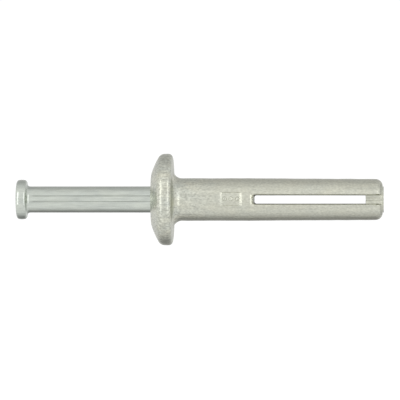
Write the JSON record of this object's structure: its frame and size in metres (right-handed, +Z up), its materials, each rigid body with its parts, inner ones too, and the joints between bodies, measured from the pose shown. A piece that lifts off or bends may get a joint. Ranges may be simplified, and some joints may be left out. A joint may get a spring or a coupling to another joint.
{
  "type": "hammer-drive wall anchor",
  "caption": "Cast wall anchor with a mushroom head and a slotted end, whose legs spread when the headed drive pin is hammered in.",
  "frame": {"origin": "middle of the mushroom head's flat underside, on the axis, where the anchor seats on the fixture", "axes": "+X along the axis from the head to the slotted tip; +Z up, towards one leg; the slot is cut through along Y"},
  "size_m": [0.0554, 0.0138, 0.0138],
  "materials": {
    "cast_zinc": "as-cast zinc alloy, fine grain, satin, a little glossier on the dome",
    "plated_steel": "drawn steel with thin bright zinc plating, satin"
  },
  "bodies": {
    "anchor_body": {"anchor_body": "cast_zinc"},
    "upper_leg": {"upper_leg": "cast_zinc"},
    "lower_leg": {"lower_leg": "cast_zinc"},
    "drive_pin": {"drive_pin": "plated_steel"}
  },
  "joints": [
    {"name": "pin_drive", "type": "slide", "parent": "anchor_body", "child": "drive_pin", "axis": [1, 0, 0], "range_m": [0, 0.01883]},
    {"name": "upper_leg_spread", "type": "hinge", "parent": "anchor_body", "child": "upper_leg", "pos_m": [0.01273, 0, 0.0019], "axis": [0, -1, 0], "range_deg": [0, 2]},
    {"name": "lower_leg_spread", "type": "hinge", "parent": "anchor_body", "child": "lower_leg", "pos_m": [0.01273, 0, -0.0019], "axis": [0, 1, 0], "range_deg": [0, 2]}
  ],
  "couplings": [
    {"joint": "upper_leg_spread", "follows": "pin_drive", "rad_per_m": 1.8537},
    {"joint": "lower_leg_spread", "follows": "pin_drive", "rad_per_m": 1.8537}
  ]
}
